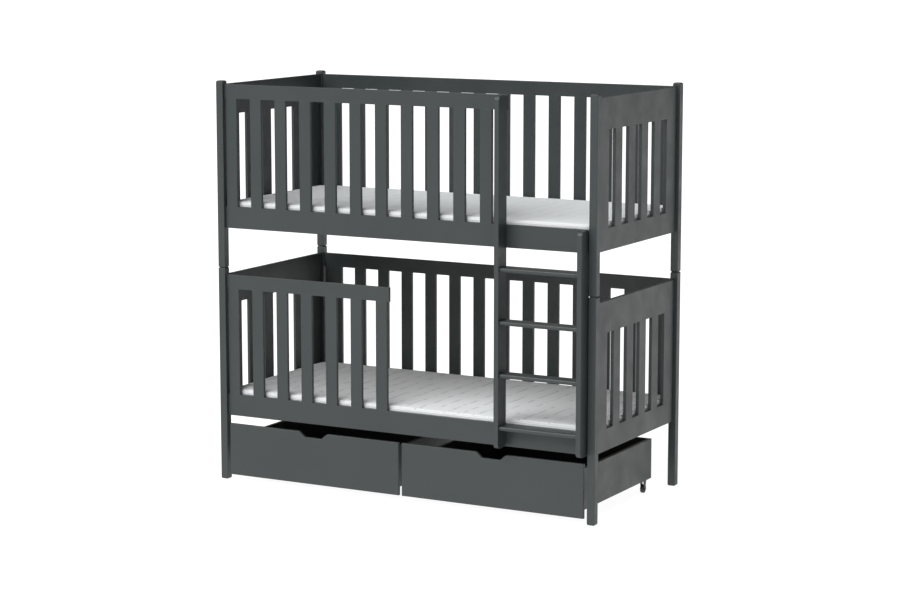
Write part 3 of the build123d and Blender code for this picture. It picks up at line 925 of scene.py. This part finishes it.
def headSurface(profile, steps):
    # A profile turned about its axis; where its third value is 1 the ring is a
    # hexagon, whose radius is the flat's distance over the cosine of the angle to it
    radius, height, hexagonal = np.array(profile, float)[1:-1].T
    angle = np.arange(steps) * 2 * math.pi / steps
    sixSided = math.cos(math.pi / 6) / np.cos(angle % (math.pi / 3) - math.pi / 6)
    ring = radius[:, None] * (1 + hexagonal[:, None] * (sixSided[None, :] - 1))
    heights = np.broadcast_to(height[:, None], ring.shape)
    body = np.stack([ring * np.cos(angle), ring * np.sin(angle), heights], -1)
    points = np.concatenate([body.reshape(-1, 3), [[0, 0, profile[0][1]], [0, 0, profile[-1][1]]]])
    ids = np.arange(len(radius) * steps).reshape(len(radius), steps)
    ahead = np.roll(ids, -1, axis=1)
    quads = np.stack([ids[:-1], ahead[:-1], ahead[1:], ids[1:]], -1).reshape(-1, 4)
    bottomPole, topPole = len(points) - 2, len(points) - 1
    bottomFan = np.stack([np.full(steps, bottomPole), ahead[0], ids[0]], -1)
    topFan = np.stack([np.full(steps, topPole), ids[-1], ahead[-1]], -1)
    return points, quads, np.concatenate([bottomFan, topFan])


def placeHeads(name, kind, places, axis, body):
    # Copies of one head, turned from +Z to an axis and moved to each of the places,
    # as one mesh
    points, quads, fans = headSurface(headProfiles[kind], fasteners["turnSteps"])
    axis = np.array(axis, float)
    side = np.array([1.0, 0.0, 0.0] if axis[2] else [0.0, 0.0, 1.0])
    turned = points @ np.stack([side, np.cross(axis, side), axis])
    places = np.array(places, float)
    shift = (np.arange(len(places)) * len(points))[:, None, None]
    faces = (quads[None] + shift).reshape(-1, 4).tolist() + (fans[None] + shift).reshape(-1, 3).tolist()
    thing = makeMesh(name, (turned[None] + places[:, None]).reshape(-1, 3), faces, [steel])
    thing.data.set_sharp_from_angle(angle=math.radians(fasteners["sharpDegrees"]))
    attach(thing, body)


def middleOf(node):
    # Half way between the corners of a node's box
    low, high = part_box(node)
    return (low + high) / 2


def fastenLadder():
    # A bolt through each rail and each upright, with its head inside the bed
    leftX, rightX = middleOf("ladder_upright_left").x, middleOf("ladder_upright_right").x
    lowerRail, upperRail = middleOf("lower_front_side_rail").z, middleOf("upper_front_side_rail").z
    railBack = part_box("lower_front_side_rail")[1].y
    places = [(x, railBack, z) for z in (lowerRail, upperRail) for x in (leftX, rightX)]
    places.append((leftX, railBack, middleOf("upper_guard_rail").z))
    placeHeads("ladderBolts", "bolt", places, (0, 1, 0), bedBody)


def fastenCleats(level, values):
    # Evenly spaced screws along the middle of each cleat's inner face
    low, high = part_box(level + "_cleats")
    reach = (high.x - low.x) / 2 * values["cleatEndShare"]
    across = np.linspace(-reach, reach, values["cleatScrews"])
    z, depth = (low.z + high.z) / 2, values["cleatDepth"]
    front = [(x, low.y + depth, z) for x in across]
    back = [(x, high.y - depth, z) for x in across]
    placeHeads(level + "FrontCleatScrews", "screw", front, (0, 1, 0), bedBody)
    placeHeads(level + "BackCleatScrews", "screw", back, (0, -1, 0), bedBody)


def fastenCastors(side, values):
    # A rivet head at each end of every axle, and two screws through every plate
    body = side + "_drawer"
    wheels = [middleOf(node) for node in cadNodes if node.startswith(side + "_wheel")]
    leg, flange, along = values["legOffset"], values["flangeOffset"], values["plateScrewOffset"]
    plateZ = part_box(side + "_castor_brackets")[1].z - values["plateThickness"]
    right = [(wheel.x + leg, wheel.y, wheel.z) for wheel in wheels]
    left = [(wheel.x - leg, wheel.y, wheel.z) for wheel in wheels]
    screws = [(wheel.x + flange * turn, wheel.y + along * turn, plateZ)
              for wheel in wheels for turn in (-1, 1)]
    placeHeads(side + "RivetsRight", "rivet", right, (1, 0, 0), body)
    placeHeads(side + "RivetsLeft", "rivet", left, (-1, 0, 0), body)
    placeHeads(side + "PlateScrews", "screw", screws, (0, 0, -1), body)


fastenLadder()
for level in ("lower", "upper"):
    fastenCleats(level, fasteners)
for side in ("left", "right"):
    fastenCastors(side, fasteners)
print("fasteners ready")
